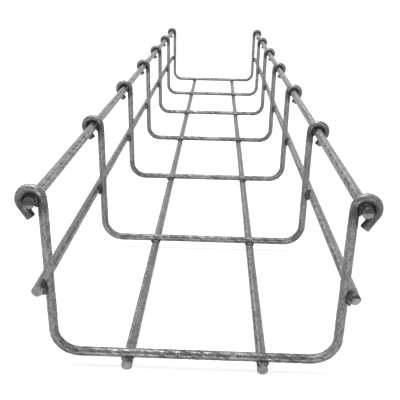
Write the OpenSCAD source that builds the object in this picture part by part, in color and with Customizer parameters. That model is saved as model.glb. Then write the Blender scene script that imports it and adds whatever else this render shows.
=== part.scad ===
// Wire mesh cable basket: a straight open tray of welded round wire.
// U-shaped cross wires carry six lengthwise wires: two under the floor, one outside
// each side, and one along each top edge, wrapped in the curled cross wire ends.
// Millimetres. X is across the tray, Y along it, Z up from the surface it lies on.
// The origin is at the middle of the underside.

/* [Tray] */
// Clear width between the two sides
inside_w = 100; // [80:1:300]
// Height of the top wires' centres above the cross wires' floor centreline
top_wire_h = 60; // [50:1:110]
// Height of the side wires' centres above the cross wires' floor centreline
side_wire_h = 27; // [18:0.5:35]
// Distance between the two floor wires, centre to centre
floor_wire_gap = 50; // [20:1:60]
// Number of cross wires
cross_count = 7; // [2:1:10]
// Distance from one cross wire to the next, centre to centre
cross_pitch = 100; // [50:1:200]
// Length of wire past the centre of the first and last cross wires
end_length = 4; // [2.2:0.1:40]

/* [Wire] */
// Diameter of the cross wires
cross_d = 3.5; // [3:0.1:4.2]
// Diameter of the lengthwise wires
long_d = 4; // [3.4:0.1:6]
// Depth that two wires melt into each other where they are welded
weld_depth = 0.15; // [0.1:0.05:0.3]

/* [Bends] */
// Inside radius of the bends between the floor and the sides
corner_inside_r = 7.5; // [4:0.5:14]
// Clearance between a top wire and the hook that wraps it
hook_clearance = 0.1; // [0.1:0.05:0.8]
// Angle that the hook turns through over the top wire
hook_turn = 212; // [190:1:216]
// Length of the straight tail after the hook's bend
hook_tail = 5.6; // [2:0.1:6.5]

/* [Hidden] */
$fn = 48;
cross_r = cross_d / 2;
long_r = long_d / 2;
// Centreline distance between two wires that are welded where they cross
weld_gap = cross_r + long_r - weld_depth;
corner_r = corner_inside_r + cross_r;
hook_r = long_r + hook_clearance + cross_r;
// Heights of the floor, above the surface that the floor wires lie on
floor_wire_z = long_r;
floor_z = floor_wire_z + weld_gap;
top_wire_z = floor_z + top_wire_h;
side_wire_z = floor_z + side_wire_h;
// A straight stretch of a bent wire is this much thinner in radius than the bends, and
// reaches this far into them, so that the two surfaces never lie on one another
join_step = 0.02;
join_depth = 0.3;
// Places across the tray
side_x = inside_w / 2 + cross_r;
outer_wire_x = side_x + weld_gap;
floor_wire_x = floor_wire_gap / 2;
floor_half = side_x - corner_r;
// Lengths along the tray
long_length = (cross_count - 1) * cross_pitch + 2 * end_length;
function cross_y(i) = (i - (cross_count + 1) / 2) * cross_pitch;

// A straight stretch of cross wire from the origin up +Z, with a bend at its foot and,
// unless it ends there, another at its top
module cross_straight(length, ends_here = false) {
    translate([0, 0, -join_depth])
        cylinder(r = cross_r - join_step, h = length + (ends_here ? 1 : 2) * join_depth);
}

// A bend of cross wire in the XZ plane round the origin, from +X towards +Z
module cross_bend(r, turn) {
    rotate([90, 0, 0])
        rotate_extrude(angle = turn)
            translate([r, 0])
                circle(r = cross_r);
}

// The side of a cross wire at +X: the corner, the upright, and the hook that goes out
// over the top wire, with its tail pointing back down and in
module cross_wire_side() {
    translate([floor_half, 0, floor_z + corner_r])
        rotate([0, 90, 0])
            cross_bend(corner_r, 90);
    translate([side_x, 0, floor_z + corner_r])
        cross_straight(top_wire_h - corner_r);
    translate([side_x + hook_r, 0, top_wire_z])
        rotate([0, hook_turn - 180, 0]) {
            cross_bend(hook_r, hook_turn);
            translate([hook_r, 0, 0])
                rotate([180, 0, 0])
                    cross_straight(hook_tail, ends_here = true);
        }
}

// One U-shaped cross wire; the first is at the -Y end
module cross_wire(i) {
    color("darkgray")
        translate([0, cross_y(i), 0]) {
            translate([-floor_half, 0, floor_z])
                rotate([0, 90, 0])
                    cross_straight(2 * floor_half);
            cross_wire_side();
            mirror([1, 0, 0]) cross_wire_side();
        }
}

// A straight wire along the whole tray at a place in the cross section
module long_wire(x, z) {
    color("silver")
        translate([x, -long_length / 2, z])
            rotate([-90, 0, 0])
                cylinder(r = long_r, h = long_length);
}

for (i = [1:cross_count])
    cross_wire(i);
long_wire(-floor_wire_x, floor_wire_z);  // floor_wire_left
long_wire(floor_wire_x, floor_wire_z);  // floor_wire_right
long_wire(-outer_wire_x, side_wire_z);  // side_wire_left
long_wire(outer_wire_x, side_wire_z);  // side_wire_right
long_wire(-outer_wire_x, top_wire_z);  // top_wire_left
long_wire(outer_wire_x, top_wire_z);  // top_wire_right
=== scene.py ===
# %% [markdown]
# # Dressing a wire mesh cable basket
# The basket is a straight tray of round steel wire. Seven cross wires are bent to a U, each
# with a curled hook at both ends. Six straight wires run the length of the tray: two under
# the floor, one outside each side, and one along each top edge, inside the hooks. The wires
# are welded where they cross, and the wire has a coat of zinc.
#
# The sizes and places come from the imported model, which this script loads as a fixed frame.
# The script then draws each wire again with the surface of a real one: marks from the
# straightening rollers, a lumpy zinc coat, sheared ends and burnt weld flash.

import math

import bmesh
import bpy
from mathutils import Matrix, Vector, noise


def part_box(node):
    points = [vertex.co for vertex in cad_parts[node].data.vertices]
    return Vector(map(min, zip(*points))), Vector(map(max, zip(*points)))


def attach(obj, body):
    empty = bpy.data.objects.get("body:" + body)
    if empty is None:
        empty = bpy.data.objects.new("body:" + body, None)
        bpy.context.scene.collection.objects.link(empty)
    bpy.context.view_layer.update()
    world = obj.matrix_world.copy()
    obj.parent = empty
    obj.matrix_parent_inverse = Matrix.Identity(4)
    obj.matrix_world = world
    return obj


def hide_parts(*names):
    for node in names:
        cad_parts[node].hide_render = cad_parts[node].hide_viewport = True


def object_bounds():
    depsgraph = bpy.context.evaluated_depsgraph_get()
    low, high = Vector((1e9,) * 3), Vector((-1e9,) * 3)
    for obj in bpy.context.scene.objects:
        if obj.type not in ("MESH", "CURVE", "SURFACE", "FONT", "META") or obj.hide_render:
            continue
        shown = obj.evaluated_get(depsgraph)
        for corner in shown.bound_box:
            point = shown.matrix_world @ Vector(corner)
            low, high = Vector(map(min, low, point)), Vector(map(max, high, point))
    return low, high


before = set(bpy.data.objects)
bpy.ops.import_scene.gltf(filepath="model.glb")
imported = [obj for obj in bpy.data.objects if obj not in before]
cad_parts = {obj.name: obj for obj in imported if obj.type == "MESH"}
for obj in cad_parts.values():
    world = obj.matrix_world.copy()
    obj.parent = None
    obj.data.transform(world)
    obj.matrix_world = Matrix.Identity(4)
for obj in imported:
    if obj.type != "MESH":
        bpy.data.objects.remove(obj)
cad_low, cad_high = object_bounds()
print("frame box in mm:", [round(1000 * (b - a), 1) for a, b in zip(cad_low, cad_high)])

# %% [markdown]
# ## Sizes
# A node's box tells nearly all that a wire needs. A straight wire's box gives its radius,
# its centreline and its two ends. A cross wire's box gives its radius, the height of its
# floor, and how far out and up its hooks reach, and the hook's radius follows from the top
# wire that it wraps. The bend at the corner and the length of the hook can't be read from a
# box, so they are named here.

# %% Read the sizes
MM = 0.001
CORNER_R = 9.25 * MM  # centreline radius of the bend between floor and side
HOOK_TURN = math.radians(212)
HOOK_TAIL = 5.6 * MM

sides = {"left": -1, "right": 1}
cross_names = sorted(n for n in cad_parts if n.startswith("cross_wire_"))
long_names = [f"{row}_wire_{side}" for row in ("floor", "side", "top") for side in sides]


def centre_of(node):
    low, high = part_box(node)
    return (low + high) / 2


def radius_across_y(node):
    low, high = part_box(node)
    return (high.z - low.z) / 2


cross_low, cross_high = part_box(cross_names[0])
cross_r = (cross_high.y - cross_low.y) / 2
long_r = radius_across_y("top_wire_right")
floor_z = cross_low.z + cross_r
top_z = centre_of("top_wire_right").z
hook_r = cross_high.z - top_z - cross_r
side_x = cross_high.x - cross_r - 2 * hook_r
cross_places = {n: centre_of(n).y for n in cross_names}
print("cross wire: radius", round(cross_r / MM, 3), "hook radius", round(hook_r / MM, 3),
      "side at", round(side_x / MM, 2), "floor at", round(floor_z / MM, 2))
print("lengthwise wire: radius", round(long_r / MM, 3))

# %% [markdown]
# ## Camera
# The camera comes first, because every later choice is judged through it. It stands behind
# the near end, above the tray, and looks down its length. A camera looks along its own -Z
# with +Y up, so `to_track_quat` turns it to face the aim point, and a small roll levels the
# near cross wire.

# %% Stand the camera
CAMERA_EYE = Vector((5.3, -475.6, 136.4)) * MM
CAMERA_AIM = Vector((-3.6, -129.6, 0.0)) * MM
CAMERA_ROLL = math.radians(1.12)
CAMERA_LENS = 51.46

camera = bpy.data.objects.new("camera", bpy.data.cameras.new("camera"))
bpy.context.scene.collection.objects.link(camera)
camera.data.lens = CAMERA_LENS
camera.data.sensor_width = 36
camera.data.clip_start, camera.data.clip_end = 0.01, 20
facing = (CAMERA_AIM - CAMERA_EYE).to_track_quat("-Z", "Y").to_matrix().to_4x4()
roll = Matrix.Rotation(CAMERA_ROLL, 4, "Z")
camera.matrix_world = Matrix.Translation(CAMERA_EYE) @ facing @ roll
bpy.context.scene.camera = camera
print("camera looks down by", round(math.degrees(math.asin(
    (CAMERA_EYE.z - CAMERA_AIM.z) / (CAMERA_EYE - CAMERA_AIM).length)), 1), "degrees")

# %% [markdown]
# ## A wire as rings
# A round wire is a ring of points that is pushed forward again and again. Blender's spin
# operator does both of the moves that a wire bending machine has: with a step and no angle it
# feeds the wire straight on, and with an angle and a pin it wraps the wire round the pin.
# A Curve object with a round bevel would be quicker, but it gives no even rings to hang the
# surface marks on.
#
# Two numbers are kept at every point: how far round the wire it is, from 0 to 1, and how far
# along. Spin copies the first one from ring to ring. The second is written afterwards, because
# the rings are made in order.

# %% Feed and bend
RING = 32  # points round a wire


class Drawing:
    """One wire while it is drawn, with its open end and the distance that end has come."""

    def __init__(self, radius, start):
        self.bm = bmesh.new()
        self.around = self.bm.verts.layers.float.new("around")
        self.along = self.bm.verts.layers.float.new("along")
        made = bmesh.ops.create_circle(
            self.bm, cap_ends=False, segments=RING, radius=radius, matrix=start)
        for i, vert in enumerate(made["verts"]):
            vert[self.around] = i / RING
        self.end = made["verts"] + self.bm.edges[:]
        self.length = 0.0
        self.straights = []

    def _spin(self, steps, length, **move):
        before = len(self.bm.verts)
        made = bmesh.ops.spin(self.bm, geom=self.end, steps=steps, **move)
        self.end = made["geom_last"]
        self.bm.verts.ensure_lookup_table()
        new = self.bm.verts[before:]
        for i, vert in enumerate(new):
            vert[self.along] = self.length + length * (i // RING + 1) / steps
        self.length += length
        return new

    def feed(self, direction, length, step):
        """Pushes the wire straight on, in one long stretch that divide() cuts up later."""
        new = self._spin(1, length, cent=(0, 0, 0), axis=(0, 1, 0), angle=0,
                         dvec=Vector(direction) * length)
        known = set(new)
        lengthwise = [e for v in new for e in v.link_edges if e.other_vert(v) not in known]
        self.straights.append((lengthwise, round(length / step) - 1))

    def bend(self, pin, axis, angle, radius, step):
        length = abs(angle) * radius
        self._spin(max(1, round(length / step)), length,
                   cent=pin, axis=axis, angle=angle, dvec=(0, 0, 0))

    def divide(self):
        """Cuts each straight stretch into rings as close as those of the bends."""
        for edges, cuts in self.straights:
            bmesh.ops.subdivide_edges(self.bm, edges=edges, cuts=cuts)


print("a wire has", RING, "points round it")

# %% [markdown]
# ## Sheared ends
# Every wire here is cropped with a shear, not sawn. The blade first rolls the lip over and
# drags a smooth band down the face, then the rest breaks off rough and leaves a ledge.
#
# The open ring is filled with one face, which is inset again and again, so that there are
# points across it to move. Each point then goes back or forward by where it lies on the line
# that the blade took, and keeps as a number how pale the finish makes it there: 1 where it
# is torn, and less in the smooth band. How dark the band is, is partly painted shade, which
# falls over that side of the face.

# %% Shear a wire's end
CAP_RINGS = 5
SHEARED = 1  # the second material on a wire, for its cut faces
LEDGE_SHARPNESS = 16


def shear(drawing, centre, outward, blade, radius, seed, drag_and_shade):
    """Closes the open end of a wire. outward is the way it faces, blade the way the cut went,
    and drag_and_shade, from 0 to 1, is how far the ledge steps and how dark the band is that the
    blade dragged smooth, a dark that is partly painted shade. The seed also sets how far over
    the ledge lies."""
    bm = drawing.bm
    torn = bm.verts.layers.float.get("torn") or bm.verts.layers.float.new("torn")
    bm.verts.ensure_lookup_table()
    rim = {v for g in drawing.end if isinstance(g, bmesh.types.BMEdge) for v in g.verts}
    rim = [e for v in rim for e in v.link_edges if e.is_boundary and e.verts[0] == v]
    cap = bmesh.ops.holes_fill(bm, edges=rim, sides=0)["faces"]
    bmesh.ops.inset_region(bm, faces=cap, thickness=0.07 * radius, depth=0.035 * radius)
    across = []
    for _ in range(CAP_RINGS):
        across += bmesh.ops.inset_region(
            bm, faces=cap, thickness=0.9 * radius / (CAP_RINGS + 1), depth=0)["faces"]
    across += cap
    ledge_at = 0.05 + 0.3 * math.sin(seed * 2.1)  # how far over, which differs from end to end
    for face in across:
        face.material_index = SHEARED
    for vert in {v for face in across for v in face.verts}:
        off = (vert.co - centre) / radius
        off -= off.dot(outward) * outward
        down = off.dot(blade)
        rolled = 0.2 * max(0.0, -down - 0.35) ** 1.5
        ledge = 1 / (1 + math.exp(-LEDGE_SHARPNESS * (down - ledge_at)))
        grain = 0.05 * noise.noise(off * 3.1 + Vector((seed, 0, 0)))
        step = 0.03 + 0.07 * drag_and_shade
        vert.co -= outward * radius * (rolled + step * ledge + grain * max(0.0, 1 - off.length))
        vert[torn] = 1 - drag_and_shade * (1 - ledge)


print("a sheared end has", CAP_RINGS + 2, "rings across it")

# %% [markdown]
# ## What the mill and the plating leave
# Wire comes off a coil and goes through a spinning straightener, whose dies leave shallow
# marks that wind round it. A feed roller scores a broken line along it, and pushes up a ridge
# beside the line. The zinc lies over both in a slightly uneven coat. All this is real
# shape, only some hundredths of a millimetre deep, so each point is moved along its own
# normal. The finish paints the ridge paler, which is a painted highlight, and the line near
# black, which on the cross wires is partly a painted dark reflection. The numbers around and
# along make it easy: a spiral is where their difference is whole, and a scored line is where
# around alone has one value.
#
# Two more numbers are kept for the finish. marks is how deep the spiral is pressed at a point,
# and score is above 0 in a scored line and below 0 on its ridge.
#
# Where two wires were welded, the scorch is kept as a number too, for the finish to darken,
# and in the hooks the same number also carries painted shade. The electrode has left a small
# flat on the far side. The number isn't called heat, because the renderer has a use of its own
# for that name and would read 0.

# %% Work the surface
SPIRAL_LEAD = 18 * MM  # how far a straightener's mark goes along in one turn
SPIRAL_STARTS = 3  # the dies that leave a mark
MARK_WIDTH = 0.8 * MM
DASH_LENGTH = 2.6 * MM  # how far apart the dashes of a scored line come, roughly
SCORE_DEPTH = 0.05 * MM
SCORE_REACH = 1.7  # how far a scored line spreads to each side, in points round the wire
FLAT_DEPTH = 0.14 * MM  # of the flat that the electrode leaves
FLAT_REACH = 4.0 * MM
COAT = 0.035 * MM  # how uneven the zinc is


def spiral_mark(around, along):
    """1 in the middle of a spiral mark, falling to 0 at its edges."""
    turn = (SPIRAL_STARTS * (around - along / SPIRAL_LEAD)) % 1
    return math.exp(-((min(turn, 1 - turn) * SPIRAL_LEAD / SPIRAL_STARTS / MARK_WIDTH) ** 2))


def scored_line(around, along, place, seed):
    """1 in the middle of a dash that a feed roller left, falling to 0 at its edges."""
    dash = noise.noise(Vector((along / DASH_LENGTH, seed * 3.1, 0)))
    beside = abs(around - place) * RING / SCORE_REACH
    return max(0.0, 1 - beside) * min(1.0, max(0.0, dash * 4 + 0.8))


def work_surface(bm, seed, spiral, score_at, depth_at, welds, centreline):
    """Presses the marks, the coat and the welds' flats into a wire, and writes the scorch, which
    in the hooks is also painted shade.
    """
    for name in ("marks", "scorch_and_shade", "score"):
        bm.verts.layers.float.new(name)
    around, along, marks, scorch_and_shade, score = (
        bm.verts.layers.float[n] for n in ("around", "along", "marks", "scorch_and_shade", "score"))
    bm.normal_update()
    shift = Vector((17.3 * seed, 5.1, 2.7))
    for vert in bm.verts:
        place = vert.co / MM
        uneven = max(0.4, min(1.0, 0.8 + 1.2 * noise.noise(place * 0.09 + shift)))
        vert[marks] = uneven * depth_at(vert.co)
        move = -spiral * vert[marks] * spiral_mark(vert[around], vert[along])
        lumps = noise.noise(place * 0.55 + shift) + 0.6 * noise.noise(place * 1.7 + shift)
        move += COAT * lumps
        line = scored_line(vert[around], vert[along], score_at, seed)
        line -= scored_line(vert[around], vert[along], (score_at + 2 / RING) % 1, seed + 1)
        vert[score] = line * depth_at(vert.co)
        move -= SCORE_DEPTH * vert[score]
        distance, nearest = min(((vert.co - w["place"]).length, i) for i, w in enumerate(welds))
        weld = welds[nearest]
        darkening_distance = (vert.co - weld["warm_place"]).length
        vert[scorch_and_shade] = math.exp(-((darkening_distance / weld["warm_reach"]) ** 2))
        away = max(0.0, (vert.co - centreline(vert.co, weld)).normalized().dot(weld["away"]))
        move -= FLAT_DEPTH * math.exp(-((distance / FLAT_REACH) ** 4)) * away ** 2
        vert.co += vert.normal * move


def unwrap(bm, radius):
    """Lays the wire's skin out flat: once round is 0 to 1, and along in the same measure."""
    around, along = (bm.verts.layers.float[n] for n in ("around", "along"))
    uv = bm.loops.layers.uv.new("skin")
    for face in bm.faces:
        turns = [loop.vert[around] for loop in face.loops]
        split = max(turns) - min(turns) > 0.5
        for loop, turn in zip(face.loops, turns):
            turn += 1 if split and turn < 0.5 else 0
            loop[uv].uv = (turn, loop.vert[along] / (2 * math.pi * radius))


def finish_piece(bm, name, slot, *materials):
    """Makes the object of a finished mesh and ties it to the frame."""
    mesh = bpy.data.meshes.new(name)
    bm.to_mesh(mesh)
    bm.free()
    mesh.shade_smooth()
    piece = bpy.data.objects.new(name, mesh)
    bpy.context.scene.collection.objects.link(piece)
    for material in materials:
        mesh.materials.append(material)
    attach(piece, "root")
    return piece


print("straightener marks lie", SPIRAL_LEAD / SPIRAL_STARTS / MM, "mm apart")

# %% [markdown]
# ## Where the wires are welded
# A weld is the place where a cross wire touches a lengthwise one. Three kinds repeat along
# the tray: over the floor wires, against the side wires, and inside the hooks. Each is kept
# as a place, the way that leads from the lengthwise wire to the cross wire, and the way that
# the cross wire runs there. A weld also has a place and a reach for the darkening round it,
# which is scorch. In a hook that place is the middle of the hook, a little below the top wire,
# and the darkening there is partly painted shade over the whole hook.

# %% List the welds
UP, OUT, ON = Vector((0, 0, 1)), Vector((1, 0, 0)), Vector((0, 1, 0))


def weld_at(cross, long):
    """The weld between two wires: its place, its directions, and where and how far it is
    darkened, by heat and, in a hook, partly by painted shade.
    """
    y, centre = cross_places[cross], centre_of(long)
    side = sides[long.split("_")[-1]]
    names = {"long": long, "cross": cross}
    if long.startswith("floor"):
        place = Vector((centre.x, y, (centre.z + long_r + floor_z - cross_r) / 2))
        return {"place": place, "to_cross": UP, "run": OUT,
                "warm_place": place, "warm_reach": 2.8 * MM, **names}
    inner = abs(centre.x) - long_r
    place = Vector((side * (inner + side_x + cross_r) / 2, y, centre.z))
    in_hook = long.startswith("top")
    return {"place": place, "to_cross": -side * OUT, "run": UP,
            # Partly painted shade: in a hook the darkening centres 1.2 mm below the top wire and
            # reaches over the hook, so the top stays pale and the inside and tail go dark.
            "warm_place": Vector((centre.x, y, centre.z - 1.2 * MM)) if in_hook else place,
            "warm_reach": (6.3 if in_hook else 2.9) * MM, **names}


all_welds = [weld_at(cross, long) for cross in cross_names for long in long_names]
print(len(all_welds), "welds")

# %% [markdown]
# ## Shader maths in Python
# A material is a net of nodes. To write it as sums, one small class wraps a socket and lets
# Python's operators add the Math nodes. Anything else comes from `node`, which sets a node's
# options first and then its inputs.

# %% A value in a material


class Value:
    """A socket of a material, with operators that add Math nodes."""

    def __init__(self, finish, socket):
        self.finish, self.socket = finish, socket

    def maths(self, operation, *values):
        return self.finish.node("Math", {"operation": operation}, dict(enumerate(values)))

    def __add__(self, other):
        return self.maths("ADD", self, other)

    def __sub__(self, other):
        return self.maths("SUBTRACT", self, other)

    def __rsub__(self, other):
        return self.maths("SUBTRACT", other, self)

    def __mul__(self, other):
        return self.maths("MULTIPLY", self, other)

    def __truediv__(self, other):
        return self.maths("DIVIDE", self, other)

    def __pow__(self, other):
        return self.maths("POWER", self, other)

    def __abs__(self):
        return self.maths("ABSOLUTE", self)

    __radd__, __rmul__ = __add__, __mul__

    def fraction(self):
        return self.maths("FRACT", self)

    def smooth(self, low, high):
        """0 below low, 1 above high, and an even curve between."""
        return self.finish.node("MapRange", {"interpolation_type": "SMOOTHSTEP"},
                                {"Value": self, "From Min": low, "From Max": high})


class Finish:
    """The nodes of a material, under a maker's name, or of a world that is passed in."""

    def __init__(self, name, world=None):
        self.owner = world or bpy.data.materials.new(name)
        self.owner.use_nodes = True
        self.tree = self.owner.node_tree
        self.tree.nodes.clear()

    def node(self, kind, options=None, inputs=None, output=0):
        made = self.tree.nodes.new("ShaderNode" + kind)
        for name, value in (options or {}).items():
            setattr(made, name, value)
        for name, value in (inputs or {}).items():
            if isinstance(value, Value):
                self.tree.links.new(value.socket, made.inputs[name])
            else:
                made.inputs[name].default_value = value
        return Value(self, made.outputs[output])

    def noise(self, where, scale, detail=2.0, roughness=0.5, distortion=0.0):
        return self.node("TexNoise", {}, {"Vector": where, "Scale": scale, "Detail": detail,
                                          "Roughness": roughness, "Distortion": distortion})

    def mix(self, share, first, second):
        """A colour between two, by share. Colours are four numbers or another mix."""
        return self.node("Mix", {"data_type": "RGBA"}, {0: share, 6: first, 7: second}, output=2)

    def surface(self, **inputs):
        """The Principled surface and the output, which every finish ends in."""
        named = {name.replace("_", " "): value for name, value in inputs.items()}
        self.output(self.node("BsdfPrincipled", {}, named))
        return self.owner

    def output(self, shader, kind="Material"):
        out = self.tree.nodes.new("ShaderNodeOutput" + kind)
        self.tree.links.new(shader.socket, out.inputs["Surface"])


def grey(level, warm=0.0):
    """A plain grey, a touch warmer if warm is above 0."""
    return (level * (1 + warm), level, level * (1 - warm), 1)


print("shader maths is ready")

# %% [markdown]
# ## Zinc plating
# Zinc on drawn wire is a dull mid grey. Close up it is mottled: pale crystals, darker
# stains and pits, faint streaks where the dies dragged, and a dark line in each spiral mark,
# where dirt and drawing soap stay. Small worn spots are much smoother than the rest and flash
# white under a lamp. Near the welds the heat has darkened it. In the hooks the darkening is
# wider and partly painted shade: darkest round the top wire and down the tail, paler on top.
# The floor stretch of each cross wire, where the marks are deepest, is painted darker, and
# the floor wires have a darker copy of the zinc than the others. The floor wires have a darker
# zinc than the others, a guess that stands for the dirt under a tray. Both are painted shade
# on the wires that face up.
#
# The stains, crystals and pits are noise in the object's own coordinates, so they have no
# seam. The spiral reads the unwrapped skin of the wire. The streaks and the worn spots are
# stretched along it, so their noise is read on a circle (the sine and cosine of around) that
# moves slowly with along, which leaves no seam either.

# %% The finish of the wires


def zinc(name, pale, dark, spiral_share, streak_share, score_and_sheen_share, painted_shade_share, mottle,
         radius):
    """The finish of a wire: its pale and dark greys, and how much each kind of mark shows,
    from 0 to 1. mottle is the share of the crystals and pits."""
    finish = Finish(name)
    here = finish.node("TexCoord", output=3)
    skin = finish.node("SeparateXYZ", {}, {0: finish.node("UVMap", {"uv_map": "skin"})})
    around, along = skin, Value(finish, skin.socket.node.outputs[1])
    scorch_and_shade = finish.node("Attribute", {"attribute_name": "scorch_and_shade"}, output=2)
    score = finish.node("Attribute", {"attribute_name": "score"}, output=2)

    patches = finish.noise(here, 75, 2).smooth(0.35, 0.65)
    stains = finish.noise(here, 260, 3, 0.6).smooth(0.34, 0.68)
    crystals = finish.noise(here, 800, 3, 0.65).smooth(0.36, 0.66)
    specks = finish.noise(here, 1900, 2, 0.6).smooth(0.54, 0.7)
    pits = finish.noise(here, 1200, 2, 0.55).smooth(0.55, 0.68)

    spiral_turns = 2 * math.pi * radius / SPIRAL_LEAD
    turn = ((around - along * spiral_turns) * SPIRAL_STARTS).fraction()
    marks = finish.node("Attribute", {"attribute_name": "marks"}, output=2)
    spiral = (abs(turn - 0.5) * 2).smooth(0.6, 0.95) * marks

    across = around * (2 * math.pi)
    sine, cosine = across.maths("SINE", across), across.maths("COSINE", across)
    streak_at = finish.node("CombineXYZ", {}, {0: sine * 2.2, 1: cosine * 2.2, 2: along * 0.3})
    streaks = finish.noise(streak_at, 1.5, 3, 0.7).smooth(0.48, 0.64)
    worn_at = finish.node("CombineXYZ", {}, {0: sine * 2.2, 1: cosine * 2.2, 2: along * 4.5})
    worn = finish.noise(worn_at, 1.5, 2, 0.6).smooth(0.42, 0.54) * (1 - spiral)

    colour = finish.mix(stains * 0.75 + patches * 0.25, grey(dark), grey(pale))
    colour = finish.mix(crystals * mottle, colour, grey(pale * 1.6))
    colour = finish.mix(streaks * streak_share, colour, grey(dark * 0.45))
    colour = finish.mix(pits * mottle, colour, grey(dark * 0.35))
    # Painted shade: the marks are deepest along the floor, so this darkens the floor stretch of a
    # cross wire, which faces up.
    colour = finish.mix(marks * painted_shade_share, colour, grey(dark * 0.6))
    colour = finish.mix(spiral * spiral_share, colour, grey(dark * 0.3))
    colour = finish.mix(specks * 0.45, colour, grey(pale * 1.9))
    # The scored line is painted near black, on the cross wires partly as a painted dark
    # reflection, and its ridge is painted pale, as a painted highlight.
    colour = finish.mix(score * score_and_sheen_share, colour, grey(0.03))
    colour = finish.mix((0 - score) * score_and_sheen_share * 0.5, colour, grey(0.45))
    # Darkening by scorch near the welds, which in the hooks is partly painted shade.
    burnt_and_shaded = (scorch_and_shade * (0.85 + 0.3 * stains)).smooth(0.25, 0.7)
    colour = finish.mix(burnt_and_shaded * 0.92, colour, grey(0.025, 0.04))

    roughness = 0.6 - worn * 0.37 + spiral * 0.1 - burnt_and_shaded * 0.1
    grains = crystals * 0.5 + specks * 0.5 - pits * 0.5 - streaks * 0.3
    height = grains * (1 - worn) - spiral * 0.6 - score
    bump = finish.node("Bump", {}, {"Strength": 0.7, "Distance": 0.06 * MM, "Height": height})
    return finish.surface(Base_Color=colour, Metallic=0.35, Roughness=roughness, Normal=bump)


LONG_MARKS = {"spiral_share": 0.12, "streak_share": 0.75, "score_and_sheen_share": 1.0,
              "painted_shade_share": 0.0, "mottle": 0.4, "radius": long_r}
cross_zinc = zinc("zinc_on_cross_wire", 0.25, 0.11, spiral_share=0.9, streak_share=0.3,
                  score_and_sheen_share=0.9, painted_shade_share=0.85, mottle=0.65, radius=cross_r)
long_zinc = zinc("zinc_on_long_wire", 0.22, 0.13, **LONG_MARKS)
# A darker copy of the lengthwise wires' zinc, as painted shade on the floor wires, which face up.
shaded_floor_zinc = zinc("zinc_on_floor_wire", 0.18, 0.1, **LONG_MARKS)
print("wire finishes:", cross_zinc.name, long_zinc.name, shaded_floor_zinc.name)

# %% [markdown]
# ## Cut steel and weld flash
# Whether the wire was coated before or after it was cut and welded isn't known. The sheared
# faces are drawn as coated, pale and grainy where they are torn and dark in the smooth band.
# The band's dark is partly painted shade on that side of the face, and the ends inside the
# hooks are darkened further, also as painted shade.
# Weld flash is steel that melted, burnt in the air and froze, so it is nearly black and rough,
# and pale only on its crests. It sits in the corners where the wires cross, and its black is
# partly painted shade in those corners.

# %% The finish of cut faces and welds


def cut_steel():
    finish = Finish("zinc_on_sheared_end")
    here = finish.node("TexCoord", output=3)
    scorch_and_shade = finish.node("Attribute", {"attribute_name": "scorch_and_shade"}, output=2)
    torn = finish.node("Attribute", {"attribute_name": "torn"}, output=2)
    grain = finish.noise(here, 1100, 3, 0.65).smooth(0.3, 0.7)
    blots = finish.noise(here, 450, 2).smooth(0.42, 0.62)
    colour = finish.mix(grain, grey(0.2), grey(0.36))
    colour = finish.mix(blots * 0.4, colour, grey(0.12, 0.03))
    # Partly painted shade: the smooth band goes near black, and in the hooks the scorch number
    # darkens the face a little more, as painted shade.
    colour = finish.mix((1 - torn) * 0.95, colour, grey(0.02))
    colour = finish.mix(scorch_and_shade.smooth(0.35, 0.85) * 0.2, colour, grey(0.045, 0.03))
    bump = finish.node("Bump", {}, {"Strength": 0.7, "Distance": 0.08 * MM, "Height": grain})
    return finish.surface(Base_Color=colour, Metallic=0.4, Roughness=0.62 - grain * 0.15,
                          Normal=bump)


def weld_flash():
    finish = Finish("weld_flash_and_crossing_shade")
    here = finish.node("TexCoord", output=3)
    crests = finish.noise(here, 520, 3, 0.6).smooth(0.48, 0.66)
    pits = finish.noise(here, 1500, 2, 0.6).smooth(0.45, 0.68)
    # Near black, which is partly painted shade in the corners where the wires cross, and pale on
    # the crests.
    colour = finish.mix(crests * 0.8, grey(0.03, 0.03), grey(0.2))
    colour = finish.mix(pits * 0.6, colour, grey(0.02, 0.03))
    bump = finish.node("Bump", {}, {"Strength": 0.9, "Distance": 0.12 * MM,
                                    "Height": crests - pits * 0.5})
    return finish.surface(Base_Color=colour, Metallic=0.3, Roughness=0.66 - crests * 0.22,
                          Normal=bump)


sheared = cut_steel()
flash = weld_flash()
print("small finishes:", sheared.name, flash.name)

# %% [markdown]
# ## The cross wires
# Half of a cross wire is fed and bent from the middle of the floor: straight, round the
# corner, up the side, round the hook, and the tail. The other half is its mirror image. The
# distance along is made negative there, so that the spiral marks go on through the middle
# as they do on a real wire, and don't turn back on themselves.

# %% Bend the cross wires
CROSS_STEP = 0.5 * MM
CROSS_MARK_DEPTH = 0.11 * MM
# The dark line here is partly a painted dark reflection along the cross wire.
CROSS_SCORED_AT = 29  # of 32 points round, which is high on the near side


def half_cross_wire(y, seed):
    """The half of a cross wire at +X, as a drawing with a sheared end, and its tail's way."""
    facing_out = Matrix((UP, -ON, OUT)).transposed().to_4x4()
    start = Matrix.Translation((0, y, floor_z)) @ facing_out
    wire = Drawing(cross_r, start)
    wire.feed(OUT, side_x - CORNER_R, CROSS_STEP)
    wire.bend((side_x - CORNER_R, y, floor_z + CORNER_R), (0, 1, 0), -math.pi / 2,
              CORNER_R, CROSS_STEP)
    wire.feed(UP, top_z - floor_z - CORNER_R, CROSS_STEP)
    hook = Vector((side_x + hook_r, y, top_z))
    wire.bend(hook, (0, 1, 0), HOOK_TURN, hook_r, CROSS_STEP)
    down = Matrix.Rotation(HOOK_TURN, 3, "Y") @ UP
    wire.feed(down, HOOK_TAIL, CROSS_STEP)
    tip = hook + Matrix.Rotation(HOOK_TURN, 3, "Y") @ Vector((-hook_r, 0, 0)) + down * HOOK_TAIL
    blade = down.cross(ON)
    shear(wire, tip, down, blade, cross_r, seed, 0.6)
    return wire, down


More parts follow.
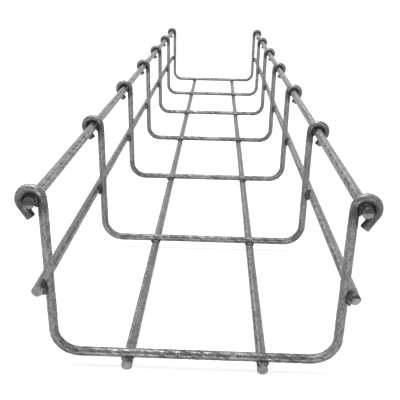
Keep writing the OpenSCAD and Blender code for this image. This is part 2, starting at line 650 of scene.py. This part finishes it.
def whole_cross_wire(y, seed, crops):
    """Both halves. crops is how much shorter the tails are cut at -X and at +X."""
    wire, down = half_cross_wire(y, seed)
    wire.divide()
    bm = wire.bm
    bmesh.ops.mirror(bm, geom=bm.verts[:] + bm.edges[:] + bm.faces[:],
                     matrix=Matrix.Identity(4), merge_dist=1e-6, axis="X")
    tail_start = wire.length - HOOK_TAIL
    for vert in bm.verts:
        left = vert.co.x < 0
        back = Vector((down.x if left else -down.x, 0, -down.z))
        down_the_tail = max(0, vert[wire.along] - tail_start) / HOOK_TAIL
        vert.co += back * crops[0 if left else 1] * down_the_tail
        if left:
            vert[wire.along] *= -1
    bmesh.ops.recalc_face_normals(bm, faces=bm.faces[:])
    return bm


def depth_on_cross(point):
    """The marks are deep along the floor, and rubbed shallow where the sides were bent up. The
    finish also darkens the skin by this depth, which is painted shade on the floor stretch.
    """
    height = (point.z - floor_z - cross_r) / CORNER_R
    return 1 - 0.6 * min(1.0, max(0.0, height))


def cross_centre(point, weld):
    """The middle of the cross wire beside a weld."""
    middle = weld["place"] + weld["to_cross"] * cross_r
    return middle + weld["run"] * (point - middle).dot(weld["run"])


TAIL_CROPS = [(0.5, -0.2), (0.6, 0.1), (0.0, 0.3), (0.3, 0.0),
              (-0.1, 0.2), (0.2, 0.4), (0.1, 0.0)]  # in mm, one pair for each cross wire
for number, name in enumerate(cross_names, 1):
    crops = [c * MM for c in TAIL_CROPS[number - 1]]
    bm = whole_cross_wire(cross_places[name], number, crops)
    welds = [{**w, "away": w["to_cross"]} for w in all_welds if w["cross"] == name]
    work_surface(bm, number, CROSS_MARK_DEPTH, CROSS_SCORED_AT / RING, depth_on_cross,
                 welds, cross_centre)
    unwrap(bm, cross_r)
    piece = finish_piece(bm, f"hooked_{name}", "cross_wire_zinc", cross_zinc, sheared)
    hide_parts(name)
print("cross wires:", len(cross_names), "of", len(piece.data.polygons), "faces each")

# %% [markdown]
# ## The lengthwise wires
# These are only fed, and both ends are sheared. Their spiral marks are fainter, but each has
# a scored line along it. A line's place round the wire is counted in 32nds from underneath,
# by way of -X: 16 is the top of the wire. Three of the near ends are cropped a little short.

# %% Feed the lengthwise wires
LONG_STEP = 0.8 * MM
LONG_MARK_DEPTH = 0.03 * MM
SCORED_AT = {"floor_wire_left": 12, "floor_wire_right": 12, "side_wire_left": 20,
             "side_wire_right": 11, "top_wire_left": 19, "top_wire_right": 12}  # of 32
NEAR_CROPS = {"floor_wire_left": 1.2, "floor_wire_right": 1.2, "side_wire_right": 1.5}  # mm
DARK_ENDS = ("top_wire_left", "top_wire_right", "side_wire_right")


def long_wire(name, seed):
    low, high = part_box(name)
    centre = (low + high) / 2
    start = Vector((centre.x, low.y + NEAR_CROPS.get(name, 0) * MM, centre.z))
    facing_on = Matrix((OUT, -UP, ON)).transposed().to_4x4()
    wire = Drawing(long_r, Matrix.Translation(start) @ facing_on)
    near_end = wire.end
    wire.feed(ON, high.y - start.y, LONG_STEP)
    wire.divide()
    # DARK_ENDS get the darkest band, which is partly painted shade; on the top wires it stands
    # for the shade under the hooks.
    drag_and_shade = 1.0 if name in DARK_ENDS else 0.25
    shear(wire, Vector((centre.x, high.y, centre.z)), ON, -UP, long_r, seed, drag_and_shade)
    wire.end = near_end
    shear(wire, start, -ON, -UP, long_r, seed + 0.5, drag_and_shade)
    bmesh.ops.recalc_face_normals(wire.bm, faces=wire.bm.faces[:])
    return wire.bm


def long_centre(point, weld):
    """The middle of the lengthwise wire beside a weld."""
    middle = weld["place"] - weld["to_cross"] * long_r
    return middle + ON * (point - middle).dot(ON)


for number, name in enumerate(long_names, 11):
    bm = long_wire(name, number)
    welds = [{**w, "away": -w["to_cross"]} for w in all_welds if w["long"] == name]
    work_surface(bm, number, LONG_MARK_DEPTH, SCORED_AT[name] / RING, lambda point: 1,
                 welds, long_centre)
    unwrap(bm, long_r)
    coat = shaded_floor_zinc if name.startswith("floor") else long_zinc
    piece = finish_piece(bm, f"drawn_{name}", "long_wire_zinc", coat, sheared)
    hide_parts(name)
print("lengthwise wires:", len(long_names), "of", len(piece.data.polygons), "faces each")

# %% [markdown]
# ## Weld flash
# When two wires are pressed together and heated, some steel is squeezed out and freezes in
# the four corners of the crossing. Each bead is a ball, pressed flat between the wires and
# made lumpy with noise. Most of it is inside the wires, and what shows is the flash. In a
# hook, a dark flat bead is also spun round the top wire to fill the gap inside the hook. It
# is painted shade: a dark sheet where that gap lies in shadow.

# %% Squeeze out the flash
# The gap fill is painted shade; this is how far round inside a hook it reaches.
GAP_SHADE_TURN = math.radians(200)  # how far the burnt zinc reaches round inside a hook


def flash_bead(bm, weld, size, seed):
    """One lumpy bead. size is along the cross wire, along the tray, and through the weld."""
    made = bmesh.ops.create_icosphere(bm, subdivisions=4, radius=1)
    shift = Vector((seed * 3.7, 1.1, 8.3))
    basis = Matrix((weld["run"], ON, weld["to_cross"])).transposed()
    for vert in made["verts"]:
        ball = vert.co.copy()
        lump = 1 + 0.16 * noise.noise(ball * 2.1 + shift) + 0.10 * noise.noise(ball * 5.3 + shift)
        squared = 1 + 0.22 * (2 * ball.x * ball.y) ** 2
        shaped = Vector((ball[i] * size[i] for i in range(3))) * lump * squared
        vert.co = weld["place"] + basis @ shaped


def hook_gap_shade(bm, weld, seed):
    """A dark flat bead in the gap between a top wire and the hook over it: painted shade, where
    that gap lies in shadow.
    """
    side = -1 if weld["to_cross"].x > 0 else 1
    axis = centre_of(weld["long"])
    axis.y = weld["place"].y
    start = Matrix.Translation(axis - OUT * side * (long_r + 0.05 * MM)) @ Matrix.Diagonal(
        (0.42 * MM, 1.45 * MM, 1, 1))
    ring = bmesh.ops.create_circle(
        bm, cap_ends=False, segments=12, radius=1, matrix=start)["verts"]
    edges = list({e for v in ring for e in v.link_edges})
    before = len(bm.verts) - len(ring)
    turned = bmesh.ops.spin(bm, geom=ring + edges, cent=axis, axis=ON, dvec=(0, 0, 0),
                            angle=side * GAP_SHADE_TURN, steps=24)["geom_last"]
    for loop in (edges, [g for g in turned if isinstance(g, bmesh.types.BMEdge)]):
        bmesh.ops.holes_fill(bm, edges=loop, sides=0)
    bm.verts.ensure_lookup_table()
    shift = Vector((seed, 4.2, 7.7))
    for vert in bm.verts[before:]:
        vert.co += 0.16 * MM * noise.noise_vector(vert.co / MM * 0.9 + shift)


bead_sizes = {"floor": (2.25, 2.6, 1.4), "side": (2.5, 2.8, 1.45), "top": (2.1, 2.3, 0.8)}
for number, long in enumerate(long_names):
    bm = bmesh.new()
    size = [s * MM for s in bead_sizes[long.split("_")[0]]]
    for i, weld in enumerate(w for w in all_welds if w["long"] == long):
        flash_bead(bm, weld, size, 10 * number + i)
        if long.startswith("top"):
            hook_gap_shade(bm, weld, 10 * number + i)
    bmesh.ops.recalc_face_normals(bm, faces=bm.faces[:])
    piece = finish_piece(bm, f"weld_flash_on_{long}", "long_wire_zinc", flash)
print("weld beads:", len(all_welds))

# %% [markdown]
# ## Floor, lamps and background
# The floor and the world show white to the camera and to reflections, through Light Path. To
# everything else they are a plain pale grey, so that they light the wires without washing
# them out. The floor adds only a little of its own shading to the white, which keeps the
# soft shadow of the tray.

# %% Lay the floor
FLOOR_SIZE = 12


def sees_backdrop(finish):
    """1 for rays from the camera, in a reflection or through something clear."""
    path = finish.node("LightPath").socket.node.outputs
    rays = ("Is Camera Ray", "Is Glossy Ray", "Is Transmission Ray")
    seen = [Value(finish, path[ray]) for ray in rays]
    both = seen[0].maths("MAXIMUM", seen[0], seen[1])
    return both.maths("MAXIMUM", both, seen[2])


def floor_finish():
    finish = Finish("pale_floor")
    lit = finish.node("BsdfDiffuse", {}, {"Color": grey(0.6)})
    tint = finish.node("BsdfDiffuse", {}, {"Color": grey(0.4)})
    glow = finish.node("Emission", {}, {"Color": grey(1), "Strength": 0.79})
    white = finish.node("AddShader", {}, {0: tint, 1: glow})
    finish.output(finish.node("MixShader", {}, {0: sees_backdrop(finish), 1: lit, 2: white}))
    return finish.owner


bm = bmesh.new()
bmesh.ops.create_grid(bm, x_segments=1, y_segments=1, size=FLOOR_SIZE / 2)
mesh = bpy.data.meshes.new("floor")
bm.to_mesh(mesh)
bm.free()
mesh.materials.append(floor_finish())
floor = bpy.data.objects.new("floor", mesh)
floor.location.z = cad_low.z
bpy.context.scene.collection.objects.link(floor)

world = bpy.data.worlds.new("studio")
bpy.context.scene.world = world
sky = Finish("studio", world)
ambient = sky.node("Background", {}, {"Color": grey(1), "Strength": 0.3})
white = sky.node("Background", {}, {"Color": grey(1), "Strength": 1.0})
shown = sky.node("MixShader", {}, {0: sees_backdrop(sky), 1: ambient, 2: white})
sky.output(shown, "World")
print("floor and world are white to the camera")

# %% [markdown]
# ## Lamps
# A soft sun comes from the left and above, as from a window. A small lamp straight over the
# near end makes the short bright dashes on its wires. A wide low one in front fills the
# uprights, and a round one brings up the far end. Places are in metres and powers in watts,
# but the sun's is its strength. They are chosen one by one. Measured on grey balls, a
# colour that faces the camera comes out about a sixth brighter than it is written, and one
# that faces up about half brighter.

# %% Hang the lamps


def hang(name, kind, place, aim, energy, **settings):
    """Hangs a lamp at a place and turns it to its aim point."""
    light = bpy.data.lights.new(name, kind)
    light.energy = energy
    for setting, value in settings.items():
        setattr(light, setting, value)
    lamp = bpy.data.objects.new(name, light)
    place, aim = Vector(place), Vector(aim)
    turn = (aim - place).to_track_quat("-Z", "Y").to_matrix().to_4x4()
    lamp.matrix_world = Matrix.Translation(place) @ turn
    bpy.context.scene.collection.objects.link(lamp)


hang("window", "SUN", (-0.45, 0.2, 0.87), (0, 0, 0), 0.8, angle=math.radians(12))
hang("strip", "AREA", (-0.08, -0.3, 0.8), (-0.08, -0.3, 0), 2.2,
     shape="RECTANGLE", size=0.05, size_y=0.12)
hang("front_fill", "AREA", (0.05, -1.6, 0.2), (0, -0.1, 0.03), 10,
     shape="RECTANGLE", size=1.4, size_y=0.24)
hang("far_end", "AREA", (0, -0.1, 0.65), (0, 0.35, 0), 3.4, shape="DISK", size=0.4)
bpy.context.scene.view_settings.view_transform = "Standard"
